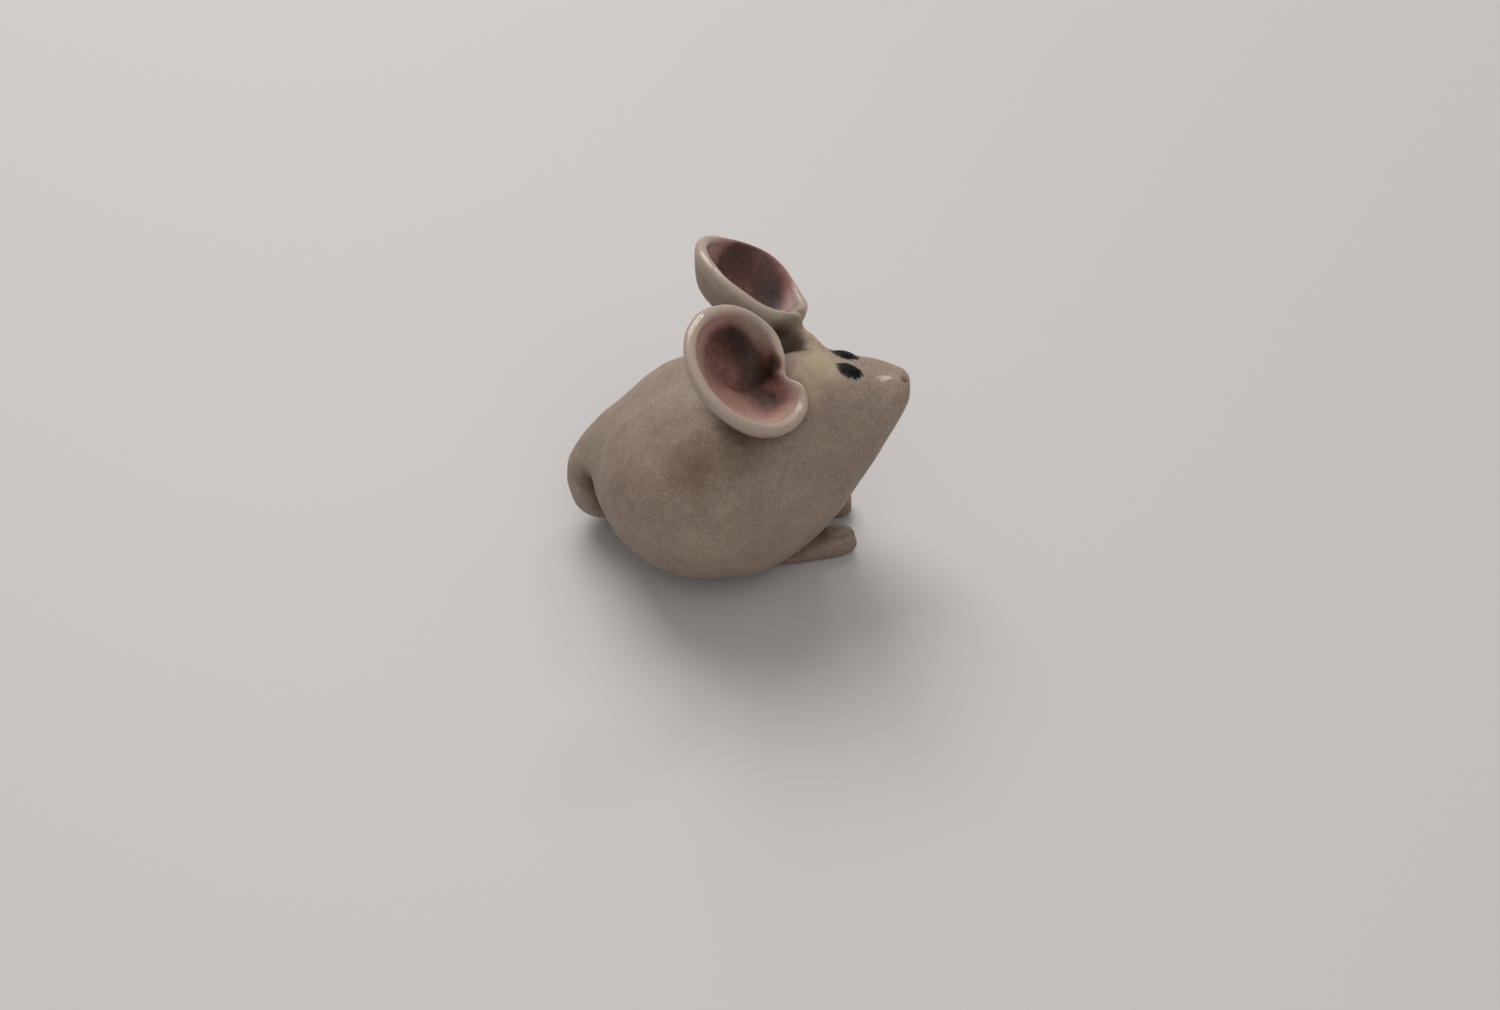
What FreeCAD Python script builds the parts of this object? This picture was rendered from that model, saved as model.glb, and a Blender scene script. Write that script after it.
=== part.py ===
"""Small seated mouse figurine in glazed stoneware, hand modelled and luted together from lumps of clay.

Frame: millimetres, +X towards the nose, +Y to the mouse's left, +Z up.
The origin is on the flat foot that the figure sits on, under the middle of its back.
"""

import FreeCAD
import Part

import math
import os

Vector = FreeCAD.Vector

# ---- driving dimensions, millimetres and degrees ------------------------------------------------

# Body: a plump egg whose front is drawn up into the head and nose.
RUMP_X = -11.6            # rearmost point of the egg
NOSE_X = 22.6             # tip of the nose
NOSE_Z = 22.0             # height of the nose tip
BODY_WIDTH = 27.8         # across the haunches
BACK_Z = 22.7             # top of the back
CROWN_Z = 26.9            # top of the head, between the ears
BELLY_SINK = 0.3          # how much of the round belly is ground off to make the foot

# Ears: round cups, pinched at the root and leaning forwards and outwards.
EAR_Z = 29.7
RIGHT_EAR_X = 6.0
RIGHT_EAR_Y = -7.65
LEFT_EAR_X = 6.6
LEFT_EAR_Y = 8.4
RIGHT_EAR_DIAMETER = 14.5 # across the rim
LEFT_EAR_DIAMETER = 14.5
EAR_WALL = 1.4            # clay thickness at the lip
EAR_CUP = 4.4             # lip down to the bottom of the cup
EAR_STALK = 9.4           # lip down to the bottom of the root, which is buried in the head
RIGHT_PINCH = 2.7         # how far the rim is pinched in at the root
LEFT_PINCH = 1.5
PINCH_DROOP = 0.9         # how far the rim dips at the pinch
FOLD_SPREAD = 41.0        # the pinch runs out slowly round the rim towards the crown
LOBE_SPREAD = 17.0        # and quickly towards the cheek, which leaves a round lobe there
RIGHT_ROOT_REACH = 4.4    # how far the bottom of the root lies ahead of the rim's middle
LEFT_ROOT_REACH = 7.6
FORWARD_TILT = 34.0       # opening turned forwards from straight up
RIGHT_OUTWARD_TILT = 15.0
LEFT_OUTWARD_TILT = 8.0
ROOT_TURN = 17.0          # pinch turned inwards from straight ahead

# Tail: a thick root behind the rump, drawn out to a rope round the left flank.
ROOT_LENGTH = 16.4
ROOT_WIDTH = 9.6
ROOT_THICKNESS = 10.2
ROOT_LEAN = 23.0          # the root's long axis leans forwards from upright
ROOT_CENTRE = Vector(-9.4, 3.0, 9.0)

# Forepaws: flattened pads under the chest, with two scored lines between the toes.
PAW_TIP_X = 17.7
RIGHT_PAW_TIP_Y = -1.7
LEFT_PAW_TIP_Y = 4.3
RIGHT_PAW_TURN = 17.0     # toes turned inwards
LEFT_PAW_TURN = 3.0
PAW_LENGTH = 11.0
PAW_WIDTH = 3.7
PAW_HEIGHT = 3.1
TOE_LINE = 0.5            # width of a scored line
TOE_LINE_DIP = 14.0       # the lines are scored downwards over the tip

# Eyes: flat ovals of black slip pressed into the brow, which faces a little to the mouse's left.
EYE_LENGTH = 2.9
EYE_WIDTH = 2.1
EYE_THICKNESS = 1.1
RIGHT_EYE_X = 16.0
RIGHT_EYE_Y = -1.1
RIGHT_EYE_Z = 24.15
RIGHT_EYE_LEAN = 12.0     # rolled outwards to lie along the brow
LEFT_EYE_X = 15.7
LEFT_EYE_Y = 1.8
LEFT_EYE_Z = 24.1
LEFT_EYE_LEAN = -22.0
BROW_SLOPE = 16.0         # both eyes dip towards the nose

GROUND = 80.0             # side of the block that cuts away what is below the foot


def ring_angles(count=24):
    return [2 * math.pi * k / count for k in range(count)]


def ring_wire(points):
    """Closed smooth wire through the points."""
    curve = Part.BSplineCurve()
    curve.interpolate(points, PeriodicFlag=True)
    return Part.Wire(curve.toShape())


def solid_through(rings):
    """Closed solid lofted through rings of points, with a small flat at each end."""
    return Part.makeLoft([ring_wire(ring) for ring in rings], True, False)


def ellipsoid(length, width, height):
    """Ellipsoid about the origin."""
    stretch = FreeCAD.Matrix()
    stretch.scale(length / 2, width / 2, height / 2)
    return Part.makeSphere(1.0).transformGeometry(stretch)


# ---- body ---------------------------------------------------------------------------------------

def body_ring(x, top, bottom, half_width, widest):
    """Upright section of the body: two half ellipses that meet at the widest height."""
    ring = []
    for a in ring_angles():
        rise = math.cos(a)
        span = top - widest if rise > 0 else widest - bottom
        ring.append(Vector(x, half_width * math.sin(a), widest + span * rise))
    return ring


def body_solid():
    belly = BODY_WIDTH / 2
    # x, top, bottom, half width, height of the widest point
    sections = [
        (RUMP_X, 11.4, 10.2, 0.6, 10.8),
        (RUMP_X + 0.35, 13.4, 7.8, 3.2, 10.6),
        (RUMP_X + 1.5, 15.6, 5.6, 5.9, 10.4),
        (RUMP_X + 3.2, 17.8, 3.4, 8.8, 10.3),
        (RUMP_X + 5.6, 19.6, 1.6, 11.3, 10.4),
        (-3.2, 21.3, 0.3, belly - 0.9, 10.5),
        (0.4, BACK_Z, -BELLY_SINK, belly, 10.7),
        (4.0, BACK_Z + 1.9, -BELLY_SINK, belly - 0.1, 10.9),
        (7.4, CROWN_Z - 0.9, -0.1, belly - 1.3, 11.1),
        (10.6, CROWN_Z, 0.6, belly - 3.7, 11.8),
        (13.6, CROWN_Z - 1.5, 3.0, 8.2, 13.4),
        (16.7, NOSE_Z + 2.4, 7.6, 6.3, 16.0),
        (19.4, NOSE_Z + 1.7, 13.2, 4.6, 18.8),
        (21.3, NOSE_Z + 1.3, 17.4, 3.2, 20.5),
        (22.3, NOSE_Z + 0.8, 19.8, 1.9, 21.3),
        (NOSE_X, NOSE_Z + 0.2, NOSE_Z - 0.8, 0.5, NOSE_Z - 0.3),
    ]
    return solid_through([body_ring(*s) for s in sections])


# ---- ears ---------------------------------------------------------------------------------------

class Ear:
    """One ear: side is -1 for the right ear and +1 for the left."""

    def __init__(self, side, x, y, diameter, outward_tilt, pinch, root_reach):
        forward, outward = math.radians(FORWARD_TILT), math.radians(outward_tilt)
        self.side = side
        self.diameter = diameter
        self.pinch = pinch
        self.root_reach = root_reach
        self.centre = Vector(x, y, EAR_Z)
        self.opening = Vector(math.cos(outward) * math.sin(forward), side * math.sin(outward),
                              math.cos(outward) * math.cos(forward))
        ahead = Vector(1, 0, 0) - self.opening * self.opening.x
        ahead.normalize()
        inward = self.opening.cross(ahead) * -side
        turn = math.radians(ROOT_TURN)
        self.root = ahead * math.cos(turn) + inward * math.sin(turn)
        self.across = self.opening.cross(self.root)

    def ring(self, inset, share, height, slide=0.0):
        """Ring at a share of the rim's radius, drawn in by inset, at a height above the lip's middle."""
        points = []
        for a in ring_angles():
            swing = a - math.pi
            spread = FOLD_SPREAD if swing * self.side < 0 else LOBE_SPREAD
            pinch = math.exp(-(swing / math.radians(spread)) ** 2)
            reach = (self.diameter / 2 - inset) * share - self.pinch * pinch * share ** 2
            low = math.exp(-(swing / math.radians(LOBE_SPREAD)) ** 2)
            droop = PINCH_DROOP * low * max(0.0, share - 0.4)
            points.append(self.centre + self.root * (reach * math.cos(swing) + slide)
                          + self.across * (reach * math.sin(swing)) + self.opening * (height - droop))
        return points

    def solid(self):
        lip = EAR_WALL / 2
        rings = []
        stalk = [(0.36, 1.0, 1.0), (0.40, 0.78, 0.85), (0.49, 0.62, 0.68), (0.62, 0.48, 0.46),
                 (0.78, 0.35, 0.25), (0.91, 0.22, 0.11), (0.985, 0.13, 0.03)]
        for share, deep, ahead in stalk:
            rings.append(self.ring(0, share, -EAR_STALK * deep, self.root_reach * ahead))
        for turn in (0, 40, 90, 140, 180):
            a = math.radians(turn)
            rings.append(self.ring(lip * (1 - math.cos(a)), 1.0, lip * math.sin(a) - lip))
        for share in (0.92, 0.8, 0.65, 0.5, 0.35, 0.2, 0.08):
            height = -lip - (EAR_CUP - lip) * (1 - share ** 2)
            rings.append(self.ring(EAR_WALL, share, height, 1.6 * (1 - share ** 2)))
        return solid_through(rings)


# ---- tail ---------------------------------------------------------------------------------------

def tail_rope():
    # x, y, z of the middle of the rope, and its radius
    route = [
        (-10.4, 4.4, 5.6, 3.4),
        (-9.2, 7.4, 4.0, 3.2),
        (-6.0, 10.2, 3.1, 2.9),
        (-1.4, 11.8, 2.6, 2.5),
        (3.4, 11.8, 2.1, 2.1),
        (7.6, 10.2, 1.7, 1.6),
        (10.6, 8.0, 1.3, 1.2),
        (12.2, 6.2, 1.0, 0.8),
    ]
    middle = Part.BSplineCurve()
    middle.interpolate([Vector(*p[:3]) for p in route])
    first, last = middle.FirstParameter, middle.LastParameter
    rings = []
    for k, (x, y, z, radius) in enumerate(route):
        here = Vector(x, y, z)
        at = middle.parameter(here)
        along = middle.tangent(min(max(at, first), last))[0]
        side = along.cross(Vector(0, 0, 1))
        side.normalize()
        over = side.cross(along)
        rings.append([here + side * (radius * math.cos(a)) + over * (radius * math.sin(a))
                      for a in ring_angles()])
    return solid_through(rings)


def tail_solid():
    root = ellipsoid(ROOT_THICKNESS, ROOT_WIDTH, ROOT_LENGTH)
    root.rotate(Vector(0, 0, 0), Vector(0, 1, 0), ROOT_LEAN)
    root.translate(ROOT_CENTRE)
    return root.fuse(tail_rope())


# ---- forepaws and eyes --------------------------------------------------------------------------

def flattened(value):
    """Turns the sine or cosine of a circle into that of a circle with flattened sides."""
    return math.copysign(abs(value) ** 0.82, value)


def paw_solid(tip_y, turn):
    rings = []
    for share, fullness in ((0.0, 0.62), (0.3, 0.8), (0.6, 0.93), (0.78, 1.0), (0.9, 0.94), (1.0, 0.62)):
        x = PAW_TIP_X - PAW_LENGTH * (1 - share)
        rings.append([Vector(x, tip_y + PAW_WIDTH / 2 * fullness * flattened(math.sin(a)),
                             PAW_HEIGHT * (0.42 + 0.5 * fullness * flattened(math.cos(a))))
                      for a in ring_angles(count=16)])
    paw = solid_through(rings)
    for offset in (-0.17, 0.17):
        line = Part.makeCylinder(TOE_LINE / 2, 5, Vector(-4, 0, 0), Vector(1, 0, 0))
        line.rotate(Vector(0, 0, 0), Vector(0, 1, 0), TOE_LINE_DIP)
        line.translate(Vector(PAW_TIP_X, tip_y + offset * PAW_WIDTH, PAW_HEIGHT * 0.72))
        paw = paw.cut(line)
    paw.rotate(Vector(PAW_TIP_X, tip_y, 0), Vector(0, 0, 1), turn)
    return paw


def eye_solid(x, y, z, lean):
    bead = ellipsoid(EYE_LENGTH, EYE_WIDTH, EYE_THICKNESS)
    bead.rotate(Vector(0, 0, 0), Vector(1, 0, 0), lean)
    bead.rotate(Vector(0, 0, 0), Vector(0, 1, 0), BROW_SLOPE)
    bead.translate(Vector(x, y, z))
    return bead


def main():
    os.makedirs("parts", exist_ok=True)
    ground = Part.makeBox(GROUND, GROUND, GROUND, Vector(-GROUND / 2, -GROUND / 2, -GROUND))
    body = body_solid().cut(ground)
    eyes = {"right_eye": eye_solid(RIGHT_EYE_X, RIGHT_EYE_Y, RIGHT_EYE_Z, RIGHT_EYE_LEAN),
            "left_eye": eye_solid(LEFT_EYE_X, LEFT_EYE_Y, LEFT_EYE_Z, LEFT_EYE_LEAN)}
    pieces = {"body": body, "tail": tail_solid().cut(body).cut(ground)}
    ears = {
        "right": Ear(-1, RIGHT_EAR_X, RIGHT_EAR_Y, RIGHT_EAR_DIAMETER,
                     RIGHT_OUTWARD_TILT, RIGHT_PINCH, RIGHT_ROOT_REACH),
        "left": Ear(1, LEFT_EAR_X, LEFT_EAR_Y, LEFT_EAR_DIAMETER,
                    LEFT_OUTWARD_TILT, LEFT_PINCH, LEFT_ROOT_REACH),
    }
    for side, ear in ears.items():
        pieces[side + "_ear"] = ear.solid().cut(body)
    paws = {"right_forepaw": paw_solid(RIGHT_PAW_TIP_Y, RIGHT_PAW_TURN),
            "left_forepaw": paw_solid(LEFT_PAW_TIP_Y, -LEFT_PAW_TURN)}
    for name, paw in paws.items():
        pieces[name] = paw.cut(body).cut(ground)
    for name, eye in eyes.items():
        pieces["body"] = pieces["body"].cut(eye)
        pieces[name] = eye
    for name, shape in pieces.items():
        print(name, "solids", len(shape.Solids), "valid", shape.isValid(), "volume", round(shape.Volume, 1))
        shape.exportStep(f"parts/{name}.step")


main()
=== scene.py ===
import math
from collections import namedtuple

import bmesh
import bpy
import numpy
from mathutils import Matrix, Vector
from mathutils.bvhtree import BVHTree


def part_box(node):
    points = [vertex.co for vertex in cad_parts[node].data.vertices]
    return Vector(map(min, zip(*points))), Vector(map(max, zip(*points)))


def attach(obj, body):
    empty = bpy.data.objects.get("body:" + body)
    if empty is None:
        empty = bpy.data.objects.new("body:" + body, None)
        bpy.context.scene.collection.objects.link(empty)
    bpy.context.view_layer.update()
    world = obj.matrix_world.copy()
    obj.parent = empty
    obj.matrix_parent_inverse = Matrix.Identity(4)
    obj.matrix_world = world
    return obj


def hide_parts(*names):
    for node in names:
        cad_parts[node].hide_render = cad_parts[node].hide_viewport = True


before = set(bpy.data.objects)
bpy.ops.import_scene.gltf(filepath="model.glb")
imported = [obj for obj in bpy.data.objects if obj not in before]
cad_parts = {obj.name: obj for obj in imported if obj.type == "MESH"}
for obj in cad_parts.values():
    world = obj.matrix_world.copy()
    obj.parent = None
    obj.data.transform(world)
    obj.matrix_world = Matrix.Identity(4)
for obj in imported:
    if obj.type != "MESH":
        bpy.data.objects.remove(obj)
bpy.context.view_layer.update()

MM = 0.001

# A small seated mouse of glazed stoneware: x is ahead, y to its left and z up. Places, reaches and pushes in
# tuples are in millimetres, and turns and directions in degrees.

FOREPAWS = ["right_forepaw", "left_forepaw"]
EYES = ["right_eye", "left_eye"]

# ---- the ears -----------------------------------------------------------------------------------------

EAR_RADIUS = 7.25 * MM        # of both rims
EAR_CUP = 4.4 * MM            # lip down to the bottom of the cup
FORWARD_TILT = 34.0
ROOT_TURN = 17.0              # from straight ahead to the root, inwards
FOLD_SPREAD = 41.0            # how far round the rim the pinch runs out towards the crown
LOBE_SPREAD = 17.0            # and towards the cheek
# Middle is that of the rim, pinch its depth at the root, and tilt is outwards.
Ear = namedtuple("Ear", "side, middle, pinch, tilt")
EARS = {
    "right_ear": Ear(side=-1, middle=Vector((6.0, -7.65, 29.7)) * MM, pinch=2.7 * MM, tilt=15.0),
    "left_ear": Ear(side=1, middle=Vector((6.6, 8.4, 29.7)) * MM, pinch=1.5 * MM, tilt=8.0),
}

# Slip in the ears. Each touch of the brush has a direction round the rim, from the pinch and positive
# towards the crown, and a spread to both sides of it.
SLIP_MARGIN = 0.85            # usual distance from the rim's outer edge to the slip's edge
# Where the edge is drawn in from the lip, or out over it: direction, spread, distance inwards.
SLIP_EDGES = {
    "right_ear": ((58, 38, 0.65), (5, 28, -0.7), (-45, 40, 0.25), (-140, 90, -0.6)),
    "left_ear": ((-110, 80, -1.6), (-15, 55, 0.8), (140, 50, -0.5)),
}
SLIP_DARKNESS = 0.66          # of a usual coat, where 1 is the darkest, deepening into the cup partly as painted shade
# Where it is darker, partly thick slip and partly painted shade deep in the cup and by the fold and the
# notch: direction, spread, distance in from the lip, its spread, how much darker.
SLIP_THICK_AND_SHADED = {
    "right_ear": ((62, 96, 2.2, 3.0, 0.36), (10, 35, 1.0, 1.8, 0.35), (-32, 45, 3.0, 3.4, 0.3)),
    "left_ear": ((-130, 90, 2.0, 4.0, 0.22), (-50, 55, 2.4, 3.0, 0.3)),
}
# Where it is thin and pink: direction, spread, distance in from the lip, its spread, how much lighter.
SLIP_THIN = {"right_ear": ((-110, 120, 2.5, 11.0, 0.7),), "left_ear": ()}

# ---- the face and the coat ----------------------------------------------------------------------------

BROW_SLOPE = 16.0
# Length and width of the painted patch, and how far it turns down towards the cheek.
EYE_PAINT = {"right_eye": (2.7, 1.95, 12.0), "left_eye": (3.0, 2.1, 0.0)}
NOSTRIL = (21.8, -0.7, 22.7)
MUZZLE = ((19.0, -0.8, 23.4), 6.0)                      # where the glaze has melted glossy: place, reach
POOL_AND_SHADE_REACH = 3.5 * MM         # how far pooled glaze and painted shade reach out from a joint
# Hollows darkened by pooled glaze and by painted shade, between the ears, in the nostril and at the tail:
# place, reach, depth of tone.
POOL_AND_SHADE_HOLLOWS = (((9.4, 0.9, 26.0), 4.7, 1.4), (NOSTRIL, 0.7, 0.9), ((-10.8, -0.9, 8.8), 2.0, 1.4))
# Yellowish glaze, thick on the brow: place, reach.
STRAW = (((13.0, -1.4, 25.6), 4.5), ((11.4, -4.6, 25.4), 4.0), ((11.9, 3.4, 25.8), 3.8))
# An iron flush behind the right ear, and a painted shadow of that ear on the flank under it: place, reach,
# strength.
FLUSH_AND_EAR_SHADOW = (((0.0, -10.6, 19.8), 6.5, 0.85), ((4.6, -10.2, 21.0), 6.5, 0.8))

FINE_GRAIN = 0.2 * MM
CLAY_GRAIN = FINE_GRAIN    # size of the skin's faces


# ---- small tools --------------------------------------------------------------------------------------

def choose(*objects):
    """Selects only these objects; the last is the active one."""
    bpy.ops.object.select_all(action="DESELECT")
    for o in objects:
        o.select_set(True)
    bpy.context.view_layer.objects.active = objects[-1]


def modify(obj, kind, **settings):
    """Adds a modifier to the object and applies it at once."""
    modifier = obj.modifiers.new(kind.lower(), kind)
    for name, value in settings.items():
        setattr(modifier, name, value)
    choose(obj)
    bpy.ops.object.modifier_apply(modifier=modifier.name)


def even_out(obj, grain, turns):
    """Gives the clay a new, even mesh and smooths it lightly."""
    modify(obj, "REMESH", mode="VOXEL", voxel_size=grain, adaptivity=0.0)
    modify(obj, "SMOOTH", factor=0.5, iterations=turns)


def copy_of(obj, name):
    """A copy with its own mesh."""
    copy = bpy.data.objects.new(name, obj.data.copy())
    bpy.context.scene.collection.objects.link(copy)
    return copy


def lump_of(node):
    """A loose copy of one lump of clay from the frame, with its mesh closed."""
    copy = copy_of(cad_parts[node], node + "_lump")
    choose(copy)
    bpy.ops.object.mode_set(mode="EDIT")
    bpy.ops.mesh.select_all(action="SELECT")
    bpy.ops.mesh.remove_doubles(threshold=0.002 * MM)
    bpy.ops.mesh.normals_make_consistent(inside=False)
    bpy.ops.object.mode_set(mode="OBJECT")
    copy.data.materials.clear()
    return copy


def surface_of(obj):
    """Search tree over the object's faces."""
    corners = [v.co for v in obj.data.vertices]
    return BVHTree.FromPolygons(corners, [p.vertices for p in obj.data.polygons])


def read_points(obj, what="co"):
    """The places of the object's points, or their normals, one row each."""
    array = numpy.empty(len(obj.data.vertices) * 3)
    obj.data.vertices.foreach_get(what, array)
    return array.reshape(-1, 3)


def move_points(obj, points):
    """Puts the object's points at these places."""
    obj.data.vertices.foreach_set("co", points.ravel())
    obj.data.update()


def fade(distance, reach):
    """1 at distance 0, falling smoothly to 0 at reach."""
    share = numpy.clip(1 - distance / reach, 0, 1)
    return share * share * (3 - 2 * share)


def near_place(points, place, reach, stretch=(1, 1, 1)):
    """1 at a place, falling to 0 at reach from it. Stretch draws the reach out along x, y and z."""
    away = (points / MM - numpy.array(place)) / numpy.array(stretch)
    return fade(numpy.linalg.norm(away, axis=1), reach)


def near_angle(swing, middle, spread):
    """1 at a direction round the rim, falling to 0 at spread degrees from it."""
    return fade(numpy.abs((swing - middle + 180) % 360 - 180), spread)


def near_surface(points, tree, reach):
    """1 where a point is on the surface, falling to 0 at reach from it."""
    values = numpy.zeros(len(points))
    for i, p in enumerate(points):
        hit = tree.find_nearest(p, reach)
        if hit[0] is not None:
            values[i] = 1 - hit[3] / reach
    return values


def thumb(obj, place, reach, push, stretch=(1, 1, 1)):
    """Presses or pulls the clay round a place, like a thumb."""
    points = read_points(obj)
    weight = near_place(points, place, reach, stretch)
    move_points(obj, points + weight[:, None] * numpy.array(push) * MM)


def relax(obj, weights, turns):
    """Smooths the clay where the weights say, like a wet finger along a joint."""
    group = obj.vertex_groups.new(name="wet")
    for i in numpy.nonzero(weights > 0.02)[0]:
        group.add([int(i)], float(weights[i]), "REPLACE")
    modify(obj, "SMOOTH", factor=0.6, iterations=turns, vertex_group="wet")
    obj.vertex_groups.remove(obj.vertex_groups["wet"])


def wet_finger(obj, place, reach, turns):
    """Smooths the clay round a place."""
    relax(obj, near_place(read_points(obj), place, reach), turns)


# ---- the skin: all the lumps of clay worked into one another ------------------------------------------

def soften_joints(skin, surfaces, names, reach, turns, above=-1.0):
    """Works the joints between the body and these lumps smooth, above a height in millimetres."""
    points = read_points(skin)
    on_body = near_surface(points, surfaces["body"], reach)
    weights = numpy.zeros(len(points))
    for name in names:
        joint = on_body * near_surface(points, surfaces[name], reach)
        weights = numpy.maximum(weights, numpy.clip(joint * 2.2 - 0.5, 0, 1))
    weights *= numpy.clip((points[:, 2] / MM - above) / 2, 0, 1)
    relax(skin, weights, turns)


def open_left_ear(ear):
    """Presses the cup out at the back, and opens the outer rim."""
    thumb(ear, place=(1.4, 7.5, 28.6), reach=5.5, push=(-1.35, -0.1, 0.0))
    thumb(ear, place=(7.8, 14.4, 28.4), reach=6.0, push=(0.48, 0.36, 0.5))


def work_joints(skin, surfaces):
    """Smooths the joints, and draws the ears' roots out over the forehead."""
    turn = (FINE_GRAIN / CLAY_GRAIN) ** 2       # a finer skin needs more turns for the same softness
    soften_joints(skin, surfaces, EARS, reach=3.4 * MM, turns=round(160 * turn))
    # The left ear's root is drawn forward into a ridge on the forehead.
    thumb(skin, place=(10.6, 4.0, 27.4), reach=3.4, push=(1.6, 0.0, 0.2))
    wet_finger(skin, place=(11.6, 3.8, 26.8), reach=4.2, turns=round(90 * turn))
    thumb(skin, place=(12.2, 2.8, 26.2), reach=2.8, push=(0.4, 0.1, 0.3))
    # The right ear's fold is drawn forward over the notch, and the lobe's top up against it.
    thumb(skin, place=(9.9, -5.0, 28.0), reach=2.4, push=(0.5, -0.1, 0.0))
    thumb(skin, place=(11.2, -6.7, 26.6), reach=2.2, push=(0.1, 0.2, 0.6))
    wet_finger(skin, place=(7.2, -6.4, 25.2), reach=2.6, turns=round(60 * turn))
    # The tail runs into the rump with no line, and lies in a crease lower down.
    soften_joints(skin, surfaces, ["tail"], reach=6.0 * MM, turns=round(900 * turn), above=9.0)
    soften_joints(skin, surfaces, ["tail", *FOREPAWS], reach=0.9 * MM, turns=round(16 * turn))
    wet_finger(skin, place=(7.6, 9.0, 2.8), reach=2.2, turns=round(80 * turn))


def press_marks(skin):
    """Presses in the hollows at the tail, nostril and crown, flattens the snout, and folds the rump."""
    thumb(skin, place=(-11.4, -1.2, 8.8), reach=1.5, push=(1.1, 0.5, 0.0), stretch=(1, 1, 1.4))
    thumb(skin, place=NOSTRIL, reach=0.7, push=(-0.3, 0.15, -0.2))
    thumb(skin, place=(9.4, 0.9, 27.0), reach=3.2, push=(0.0, 0.0, -1.5), stretch=(1.2, 0.8, 1))
    thumb(skin, place=(19.2, 0.3, 24.0), reach=3.0, push=(0.0, 0.0, -0.2), stretch=(1.2, 0.7, 1))
    for side in (-1, 1):                        # a soft edge along each side of the snout's top
        thumb(skin, place=(18.6, side * 2.4, 23.0), reach=1.5, push=(0.0, side * 0.1, 0.14),
              stretch=(2, 1, 1))
    for step in range(9):                       # a low fold over the rump
        thumb(skin, place=(-7.6 + step * 0.4, -2.6 + step * 0.1, 18.4 + step * 0.29), reach=0.9,
              push=(-0.01, -0.02, 0.04))


def model_skin(lumps, surfaces):
    """Joins the lumps into one skin and finishes its surface."""
    skin = copy_of(lumps["body"], "skin")
    others = [copy_of(o, "extra") for name, o in lumps.items() if name != "body"]
    choose(*others, skin)
    bpy.ops.object.join()
    even_out(skin, CLAY_GRAIN, turns=4)
    work_joints(skin, surfaces)
    press_marks(skin)

    lumpy = bpy.data.textures.new("lumpy_clay", "CLOUDS")
    lumpy.noise_scale = 5 * MM
    lumpy.noise_depth = 1
    modify(skin, "DISPLACE", texture=lumpy, texture_coords="LOCAL", strength=0.35 * MM, mid_level=0.5)
    points = read_points(skin)
    points[:, 2] = numpy.maximum(points[:, 2], 0.0)     # the foot stays flat on the table
    move_points(skin, points)
    return skin


def take_off(skin, lump, name, spare):
    """Cuts the stretch of skin over one lump off as a closed piece, with a little to spare round it."""
    cutter = copy_of(lump, "cutter")
    grain = min(0.3 * MM, max(lump.dimensions) / 30)
    even_out(cutter, grain, turns=3)
    if spare:
        modify(cutter, "DISPLACE", strength=spare, mid_level=0.0)
        even_out(cutter, grain, turns=3)
    piece = copy_of(skin, name)
    modify(piece, "BOOLEAN", operation="INTERSECT", solver="MANIFOLD", object=cutter)
    modify(skin, "BOOLEAN", operation="DIFFERENCE", solver="MANIFOLD", object=cutter)
    bpy.data.objects.remove(cutter)
    return piece


def drop_crumbs(obj):
    """Removes the loose crumbs that a cut can leave beside the piece."""
    mesh = bmesh.new()
    mesh.from_mesh(obj.data)
    waiting = set(mesh.verts)
    shells = []
    while waiting:
        shell = set()
        front = {waiting.pop()}
        while front:
            shell |= front
            front = {e.other_vert(v) for v in front for e in v.link_edges} - shell
        waiting -= shell
        shells.append(shell)
    piece = max(shells, key=len)
    crumbs = [v for shell in shells if shell is not piece for v in shell]
    bmesh.ops.delete(mesh, geom=crumbs, context="VERTS")
    mesh.to_mesh(obj.data)
    mesh.free()


def model_pieces(lumps, surfaces):
    """The skin, cut along the lumps into one closed piece for each."""
    skin = model_skin(lumps, surfaces)
    spares = {**dict.fromkeys(["tail", *EARS], 0.5 * MM), **dict.fromkeys(FOREPAWS, 0.25 * MM),
              **dict.fromkeys(EYES, 0.0)}
    pieces = {name: take_off(skin, lumps[name], name + "_clay", spare) for name, spare in spares.items()}
    skin.name = "body_clay"
    pieces["body"] = skin
    for piece in pieces.values():
        drop_crumbs(piece)
    return pieces


# ---- marks: numbers kept on the points, for the glazes to read ----------------------------------------

def ear_axes(name):
    """Directions to the ear's root, across, and out of its opening."""
    ear = EARS[name]
    forward = math.radians(FORWARD_TILT)
    outward = math.radians(ear.tilt)
    opening = Vector((math.cos(outward) * math.sin(forward), ear.side * math.sin(outward),
                      math.cos(outward) * math.cos(forward)))
    ahead = (Vector((1, 0, 0)) - opening * opening.x).normalized()
    inward = opening.cross(ahead) * -ear.side
    turn = math.radians(ROOT_TURN)
    root = ahead * math.cos(turn) + inward * math.sin(turn)
    return root, opening.cross(root), opening


def rim_measures(name, points):
    """Height over the rim, direction round it from the pinch, and millimetres in from its outer edge."""
    ear = EARS[name]
    root, across, opening = (numpy.array(axis) for axis in ear_axes(name))
    away = points - numpy.array(ear.middle)
    ahead = away @ root
    aside = away @ across * -ear.side
    swing = numpy.degrees(numpy.arctan2(aside, ahead))
    spread = numpy.where(swing > 0, FOLD_SPREAD, LOBE_SPREAD)
    edge = EAR_RADIUS - ear.pinch * numpy.exp(-(swing / spread) ** 2)
    return away @ opening, swing, (edge - numpy.hypot(ahead, aside)) / MM


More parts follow.
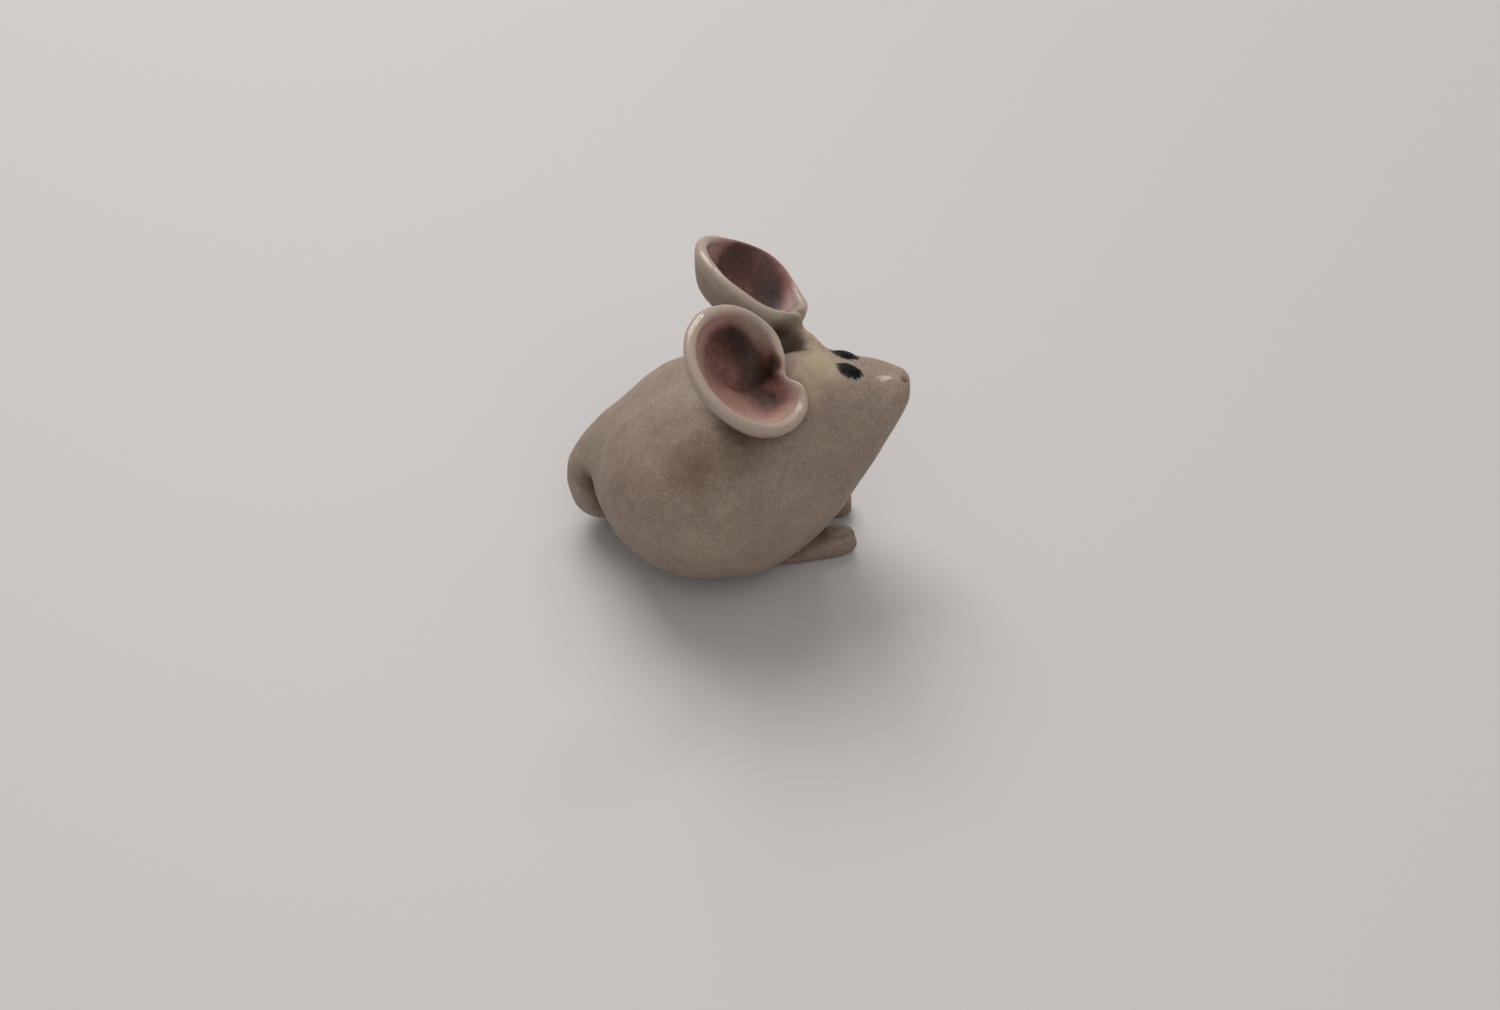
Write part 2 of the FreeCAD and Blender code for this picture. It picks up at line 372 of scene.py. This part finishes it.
def inside_ear(name, points, normals, height, swing, margin):
    """1 on the walls that face the middle of the cup's mouth, and 0 outside the cup."""
    ear = EARS[name]
    root, across, opening = ear_axes(name)
    mouth = numpy.array(ear.middle + opening * 3 * MM) - points
    mouth /= numpy.linalg.norm(mouth, axis=1)[:, None]
    over_lip = near_angle(swing, -95, 80) * (ear.side > 0)  # the left ear's slip runs out over its outer lip
    facing = numpy.clip((normals * mouth).sum(axis=1) * 3 + 0.3 + 2 * over_lip, 0, 1)
    return facing * (margin > 0) * (height > -EAR_CUP - 1.2 * MM)


def ear_marks(name, points, normals):
    """The marks of one ear: slip and its depth with painted shade deep in the cup, the dark band along the
    fold, and the melted and the cream lip.
    """
    side = EARS[name].side
    height, swing, margin = rim_measures(name, points)
    inside = inside_ear(name, points, normals, height, swing, margin)

    start = SLIP_MARGIN
    for middle, spread, inwards in SLIP_EDGES[name]:
        start = start + inwards * near_angle(swing, middle, spread)
    # It darkens sooner at the fold, and later opposite the pinch; the darkening deeper in is partly painted
    # shade.
    width = 1.6 - 0.9 * near_angle(swing, 40, 75) + 1.2 * near_angle(swing, 175, 60)
    depth = SLIP_DARKNESS * numpy.clip((margin - start) / width, 0, 1)
    for middle, spread, place, reach, lighter in SLIP_THIN[name]:
        depth *= 1 - lighter * near_angle(swing, middle, spread) * fade(numpy.abs(margin - place), reach)
    for middle, spread, place, reach, darker in SLIP_THICK_AND_SHADED[name]:
        depth += darker * near_angle(swing, middle, spread) * fade(numpy.abs(margin - place), reach)
    slip = inside * numpy.clip((margin - start) / (0.9 - 0.4 * near_angle(swing, 30, 60)), 0, 1)

    fold = near_angle(swing, 48, 55) * (side < 0)
    brown = 0.6 * inside * fold * fade(numpy.abs(margin - start - 0.5), 1.4)
    lip = fade(numpy.abs(margin - 0.6), 1.3) * fade(numpy.abs(height + 0.3 * MM), 2.2 * MM)
    cream = lip * (1 - 0.2 * fold - 0.7 * near_angle(swing, 0, 35) * (side > 0))
    return {"slip": slip, "cup": numpy.clip(depth, 0, 1), "brown": brown, "cream": cream, "melt": lip}


def pooled_glaze_and_shade(points, surfaces):
    """How much glaze has run together in the joints and the hollows, and how much painted shade lies there.
    """
    height = points[:, 2] / MM
    on_body = near_surface(points, surfaces["body"], POOL_AND_SHADE_REACH)
    pool = numpy.zeros(len(points))
    for name in ["tail", *EARS, *FOREPAWS]:
        joint = on_body * near_surface(points, surfaces[name], POOL_AND_SHADE_REACH)
        if name == "tail":                      # worked smooth high on the rump, so no pooled glaze or painted shade there
            joint *= numpy.clip((12.5 - height) / 3, 0, 1)
        pool = numpy.maximum(pool, joint * (0.4 + 0.6 * numpy.clip(height / 4, 0, 1)))
    for place, reach, depth in POOL_AND_SHADE_HOLLOWS:
        pool = numpy.maximum(pool, depth * near_place(points, place, reach))
    return pool


def eye_paint(name, points):
    """1 over the middle of an eye's paint, 0.6 at its edge, and fading out beyond it."""
    length, width, turn = EYE_PAINT[name]
    low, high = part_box(name)
    middle = (Vector(low) + Vector(high)) / 2
    slope = math.radians(BROW_SLOPE)
    turn = math.radians(turn)
    ahead = Vector((math.cos(slope), 0, -math.sin(slope)))
    left = Vector((0, 1, 0))
    along = numpy.array(ahead * math.cos(turn) - left * math.sin(turn))
    across = numpy.array(left * math.cos(turn) + ahead * math.sin(turn))
    away = (points - numpy.array(middle)) / MM
    distance = numpy.hypot(away @ along * 2 / length, away @ across * 2 / width)
    on_brow = points[:, 2] > middle.z - length / 2 * MM
    return numpy.clip(1.6 - distance, 0, 1) * on_brow


def most(*values):
    """The largest of these numbers at each point."""
    return numpy.maximum.reduce(values)


def store_marks(piece, surfaces):
    """Keeps on each point of a piece how much of each mark is there, from 0 to 1 or a little more."""
    points = read_points(piece)
    normals = read_points(piece, "normal")
    right, left = (ear_marks(name, points, normals) for name in EARS)
    right_cup = numpy.where(right["slip"] > 0, right["cup"], 0)
    marks = {
        "slip": most(right["slip"], left["slip"]),                  # how much mauve slip covers the clay
        "cup": numpy.where(left["slip"] > right["slip"], left["cup"], right_cup),       # how dark it is, partly painted shade deep in the cup
        "brown": most(right["brown"], left["brown"]),               # dark brown band along the fold
        "cream": most(right["cream"], left["cream"]),               # thin over the lips
        "melt": most(right["melt"], left["melt"], near_place(points, *MUZZLE)),         # fired glossy
        # Pooled glaze in joints and hollows, and painted shade where the parts meet and in the hollows.
        "pool": pooled_glaze_and_shade(points, surfaces),
        "straw": most(*(near_place(points, *patch) for patch in STRAW)),
        # An iron flush, and a painted shadow of the right ear on the body below it.
        "blush": most(*(strength * near_place(points, place, reach) for place, reach, strength in FLUSH_AND_EAR_SHADOW)),
        "eye": most(*(eye_paint(name, points) for name in EYES)),
        # The flat foot, wiped clean of glaze.
        "bare": numpy.clip(1.3 - points[:, 2] / (0.3 * MM), 0, 1) * (normals[:, 2] < -0.4),
    }
    for name, values in marks.items():
        attribute = piece.data.attributes.new(name, "FLOAT", "POINT")
        attribute.data.foreach_set("value", numpy.ascontiguousarray(values, dtype=numpy.float32))


# ---- glazes -------------------------------------------------------------------------------------------

def colour(hexa):
    """sRGB hex to linear red, green, blue and alpha."""
    values = [int(hexa[i:i + 2], 16) / 255 for i in (1, 3, 5)]
    return [v / 12.92 if v <= 0.04045 else ((v + 0.055) / 1.055) ** 2.4 for v in values] + [1.0]


def add(owner, kind, settings=None, out=0, **links):
    """Adds a node with its settings and links to a material or world, and gives back one of its outputs."""
    tree = owner.node_tree
    node = tree.nodes.new(kind)
    for name, value in (settings or {}).items():
        if name == "stops":
            stops = node.color_ramp.elements
            while len(stops) < len(value):
                stops.new(0.5)
            for stop, (position, hexa) in zip(stops, value):
                stop.position = position
                stop.color = colour(hexa)
        elif isinstance(name, str) and hasattr(node, name):
            setattr(node, name, value)
        else:
            node.inputs[name].default_value = value
    for name, output in links.items():
        key = int(name[1:]) if name[0] == "_" else name.replace("_", " ")
        tree.links.new(output, node.inputs[key])
    return node.outputs[out] if len(node.outputs) else node


def new_material(name):
    """A material with no nodes yet."""
    material = bpy.data.materials.new(name)
    material.use_nodes = True
    material.node_tree.nodes.clear()
    return material


def patches(material, place, size, edge, full="#FFFFFF", mark=None, ragged=0.5):
    """Share of a colour in spots this wide in millimetres, or in a mark made ragged by them.

    It rises from none to full between the two levels of edge.
    """
    level = add(material, "ShaderNodeTexNoise",
                {"Scale": 1 / (size * MM), "Detail": 4.0, "Roughness": 0.62}, Vector=place)
    if mark:
        level = add(material, "ShaderNodeMath",
                    {"operation": "MULTIPLY_ADD", 1: ragged, 2: -ragged / 2}, _0=level)
        stored = add(material, "ShaderNodeAttribute", {"attribute_name": mark}, "Fac")
        level = add(material, "ShaderNodeMath", {"operation": "ADD"}, _0=level, _1=stored)
    return add(material, "ShaderNodeValToRGB", {"stops": ((edge[0], "#000000"), (edge[1], full))}, Fac=level)


def ash_glaze(material, place, light="#988573", dark="#7E6A5A"):
    """Grey-beige ash glaze: cloudy tone, iron specks, pale flecks, and brown where it has run thick in
    joints and hollows, which also stands as painted shade there; an iron flush and a painted shadow of the
    right ear darken the flank.
    """
    tone = None
    # Clouds, mottling and grog, as wide as each is in millimetres, and its share of the tone.
    for size, share, stops in (
            (7.0, 1.0, ((0.35, dark), (0.65, light))),
            (0.9, 0.35, ((0.3, "#7C685A"), (0.7, "#A49484"))),
            (0.24, 0.26, ((0.36, "#685A4E"), (0.5, "#8C7D71"), (0.64, "#B3A69A")))):
        spots = add(material, "ShaderNodeTexNoise",
                    {"Scale": 1 / (size * MM), "Detail": 4.0, "Roughness": 0.62}, Vector=place)
        spots = add(material, "ShaderNodeValToRGB", {"stops": stops}, Fac=spots)
        if tone is None:
            tone = spots
        else:
            tone = add(material, "ShaderNodeMix", {"data_type": "RGBA", 0: share}, 2, _6=tone, _7=spots)
    # Brown of the iron flush and of the painted shadow under the right ear.
    iron_flush_and_ear_shadow = patches(material, place, 3.0, (0.25, 0.95), "#E0E0E0", "blush", ragged=0.9)
    thin_on_lips = patches(material, place, 1.2, (0.1, 0.8), "#E6E6E6", "cream", ragged=0.3)
    thick_on_brow = patches(material, place, 0.8, (0.1, 0.85), "#DADADA", "straw", ragged=1.0)
    iron_specks = patches(material, place, 0.42, (0.66, 0.72), "#909090")
    pale_flecks = patches(material, place, 0.3, (0.68, 0.76), "#909090")
    # Dark brown of pooled glaze, also painted shade in the joints and hollows.
    pooled_and_shade = patches(material, place, 1.4, (0.3, 0.95), "#F0F0F0", "pool")
    bled_oxide = patches(material, place, 0.5, (0.15, 0.5), "#A8A8A8", "eye", ragged=0.4)
    wiped_foot = add(material, "ShaderNodeAttribute", {"attribute_name": "bare"}, "Fac")
    for share, hexa in ((iron_flush_and_ear_shadow, "#5E4630"), (thin_on_lips, "#AE9D90"), (thick_on_brow, "#B3A185"),
                        (iron_specks, "#4A3828"), (pale_flecks, "#B8AC9D"), (pooled_and_shade, "#33200C"),
                        (bled_oxide, "#8C8C8A"), (wiped_foot, "#A58E76")):
        tone = add(material, "ShaderNodeMix", {"data_type": "RGBA", 7: colour(hexa)}, 2, _0=share, _6=tone)
    return tone


def pebbled(material, place, size, height):
    """Surface of the glaze over the grog in the clay: spots this wide and this high, in millimetres."""
    spots = add(material, "ShaderNodeTexNoise", {"Scale": 1 / (size * MM), "Detail": 3.0}, Vector=place)
    return add(material, "ShaderNodeBump", {"Strength": 0.5, "Distance": height * MM}, Height=spots)


def painted_eye(material, place, ground):
    """Black oxide over the ground colour, ragged at its edge, with grey specks where the glaze shows."""
    spots = add(material, "ShaderNodeTexNoise", {"Scale": 1 / (0.3 * MM), "Detail": 3.0}, Vector=place)
    stops = ((0.64, "#050403"), (0.8, "#3A362D"))
    black = add(material, "ShaderNodeValToRGB", {"stops": stops}, Fac=spots)
    share = patches(material, place, 0.4, (0.44, 0.66), mark="eye", ragged=1.0)
    return add(material, "ShaderNodeMix", {"data_type": "RGBA"}, 2, _0=share, _6=ground, _7=black)


def speckled_stoneware():
    """Wood-ash glaze over grogged stoneware, fired to a satin: broken-up, soft highlights."""
    material = new_material("speckled_stoneware_satin_glaze")
    place = add(material, "ShaderNodeTexCoord", out="Object")
    worn = add(material, "ShaderNodeTexNoise", {"Scale": 1 / (1.6 * MM), "Detail": 3.0}, Vector=place)
    worn = add(material, "ShaderNodeValToRGB", {"stops": ((0.3, "#ACACAC"), (0.7, "#CCCCCC"))}, Fac=worn)
    melt = add(material, "ShaderNodeAttribute", {"attribute_name": "melt"}, "Fac")
    gloss = add(material, "ShaderNodeMix", {"data_type": "RGBA", 7: colour("#585858")}, 2, _0=melt, _6=worn)
    shader = add(material, "ShaderNodeBsdfPrincipled", {"IOR": 1.36}, Roughness=gloss,
                 Base_Color=painted_eye(material, place, ash_glaze(material, place)),
                 Normal=pebbled(material, place, 0.35, 0.06))
    add(material, "ShaderNodeOutputMaterial", Surface=shader)
    return material


def browned_stoneware():
    """The same ash glaze run thin over the paws, where the brown clay shows through, dull and darker."""
    material = new_material("thin_ash_glaze_on_brown_stoneware")
    place = add(material, "ShaderNodeTexCoord", out="Object")
    shader = add(material, "ShaderNodeBsdfPrincipled", {"Roughness": 0.6, "IOR": 1.4},
                 Base_Color=ash_glaze(material, place, light="#75604F", dark="#574333"),
                 Normal=pebbled(material, place, 0.35, 0.06))
    add(material, "ShaderNodeOutputMaterial", Surface=shader)
    return material


def slipped_ear():
    """Mauve slip brushed inside the ear under clear glaze, breaking pink, then cream at the glossy lip;
    darker deep in the cup, partly as painted shade.
    """
    material = new_material("mauve_slip_gloss_glaze")
    place = add(material, "ShaderNodeTexCoord", out="Object")
    spots = add(material, "ShaderNodeTexNoise",
                {"Scale": 1 / (0.6 * MM), "Detail": 4.0, "Roughness": 0.65}, Vector=place)
    spots = add(material, "ShaderNodeMath", {"operation": "MULTIPLY_ADD", 1: 0.36, 2: -0.18}, _0=spots)
    depth = add(material, "ShaderNodeAttribute", {"attribute_name": "cup"}, "Fac")
    depth = add(material, "ShaderNodeMath", {"operation": "ADD"}, _0=depth, _1=spots)
    # Slip from pink at its edge to near black deep in the cup; the darkest part is painted shade.
    tone = add(material, "ShaderNodeValToRGB", {"stops": (
        (0.0, "#A89284"), (0.15, "#A98B7F"), (0.3, "#A98278"), (0.5, "#946F68"), (0.66, "#7E564F"),
        (0.8, "#52342D"), (1.0, "#22110A"))}, Fac=depth)
    # A dark brown band just inside the slip's edge along the fold.
    dark_fold_band = add(material, "ShaderNodeAttribute", {"attribute_name": "brown"}, "Fac")
    pale_specks = patches(material, place, 0.3, (0.56, 0.74), "#505050")
    for share, hexa in ((dark_fold_band, "#4C3524"), (pale_specks, "#9A8A80")):
        tone = add(material, "ShaderNodeMix", {"data_type": "RGBA", 7: colour(hexa)}, 2, _0=share, _6=tone)
    slip = patches(material, place, 0.5, (0.1, 0.9), mark="slip", ragged=0.4)
    tone = add(material, "ShaderNodeMix", {"data_type": "RGBA"}, 2, _0=slip,
               _6=ash_glaze(material, place), _7=tone)
    melt = add(material, "ShaderNodeAttribute", {"attribute_name": "melt"}, "Fac")
    gloss = add(material, "ShaderNodeValToRGB", {"stops": ((0.3, "#C4C4C4"), (0.9, "#505050"))}, Fac=melt)
    shader = add(material, "ShaderNodeBsdfPrincipled", {"IOR": 1.4}, Roughness=gloss, Base_Color=tone,
                 Normal=pebbled(material, place, 0.5, 0.03))
    add(material, "ShaderNodeOutputMaterial", Surface=shader)
    return material


def black_oxide():
    """Black iron and cobalt oxide painted on the brow: dense, dull black with a ragged edge."""
    material = new_material("black_oxide_under_glaze")
    place = add(material, "ShaderNodeTexCoord", out="Object")
    shader = add(material, "ShaderNodeBsdfPrincipled", {"Roughness": 0.55, "IOR": 1.2},
                 Base_Color=painted_eye(material, place, ash_glaze(material, place)),
                 Normal=pebbled(material, place, 0.3, 0.06))
    add(material, "ShaderNodeOutputMaterial", Surface=shader)
    return material


def glaze_pieces(pieces, surfaces):
    """Gives each piece its marks, its glaze, and its place on the frame."""
    stoneware = speckled_stoneware()
    finishes = {"body": (stoneware, "body_glaze"), "tail": (stoneware, "body_glaze")}
    finishes.update(dict.fromkeys(FOREPAWS, (browned_stoneware(), "paw_glaze")))
    finishes.update(dict.fromkeys(EARS, (slipped_ear(), "ear_glaze")))
    finishes.update(dict.fromkeys(EYES, (black_oxide(), "eye_slip")))
    for name, piece in pieces.items():
        store_marks(piece, surfaces)
        material, slot = finishes[name]
        piece.data.materials.clear()
        piece.data.materials.append(material)
        choose(piece)
        bpy.ops.object.shade_smooth_by_angle(angle=math.radians(50))
        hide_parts(name)
        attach(piece, "root")


# ---- stage, light and camera --------------------------------------------------------------------------

def stage_floor():
    """A pale, dull laminate table top."""
    bpy.ops.mesh.primitive_plane_add(size=2.4, location=(0, 0.3, 0))
    floor = bpy.context.object
    floor.name = "floor"
    material = new_material("pale_laminate")
    shader = add(material, "ShaderNodeBsdfPrincipled", {"Base Color": colour("#BBB8B6"), "Roughness": 0.6})
    add(material, "ShaderNodeOutputMaterial", Surface=shader)
    floor.data.materials.append(material)


def soft_light(name, place, size, power, tint):
    """A square lamp that faces the figure: place and size in metres, power in watts."""
    bpy.ops.object.light_add(type="AREA", location=place)
    lamp = bpy.context.object
    lamp.name = name
    lamp.data.size = size
    lamp.data.energy = power
    lamp.data.color = tint
    lamp.rotation_euler = (-Vector(place)).to_track_quat("-Z", "Y").to_euler()


def light_room():
    """Even grey light from all round, and a paler grey where the room itself is seen."""
    world = bpy.context.scene.world or bpy.data.worlds.new("room")
    bpy.context.scene.world = world
    world.use_nodes = True
    world.node_tree.nodes.clear()
    even_light = (0.39, 0.38, 0.38, 1.0)
    seen = add(world, "ShaderNodeLightPath", out="Is Camera Ray")
    shown = colour("#C6C3C0")
    tint = add(world, "ShaderNodeMix", {"data_type": "RGBA", 6: even_light, 7: shown}, 2, _0=seen)
    sky = add(world, "ShaderNodeBackground", {"Strength": 1.0}, Color=tint)
    add(world, "ShaderNodeOutputWorld", Surface=sky)


def set_camera():
    """Looks straight at the figure's right side from 42 degrees above, 151 mm from its foot."""
    pitch = math.radians(42)
    right = Vector((1, 0, 0))
    up = Vector((0, math.sin(pitch), math.cos(pitch)))
    back = Vector((0, -math.cos(pitch), math.sin(pitch)))
    place = (right * 5.81 + up * 3.53 + back * 151.2) * MM
    bpy.ops.object.camera_add(location=place, rotation=(math.pi / 2 - pitch, 0, 0))
    camera = bpy.context.object
    camera.data.sensor_width = 36
    camera.data.lens = 31.2
    camera.data.clip_start = 0.01
    bpy.context.scene.camera = camera


lumps = {name: lump_of(name) for name in ["body", "tail", *EARS, *FOREPAWS, *EYES]}
open_left_ear(lumps["left_ear"])
surfaces = {name: surface_of(lump) for name, lump in lumps.items()}
pieces = model_pieces(lumps, surfaces)
for lump in lumps.values():
    bpy.data.objects.remove(lump)
glaze_pieces(pieces, surfaces)

stage_floor()
soft_light("window", place=(-0.42, 1.1, 1.4), size=1.2, power=24.0, tint=(1.0, 0.98, 0.96))
soft_light("room", place=(0.3, -1.1, 1.2), size=1.8, power=8.0, tint=(1.0, 1.0, 1.0))
soft_light("lamp", place=(0.55, 1.1, 1.4), size=0.25, power=2.5, tint=(1.0, 0.98, 0.95))     # for glints
light_room()
set_camera()
bpy.context.scene.view_settings.view_transform = "Standard"
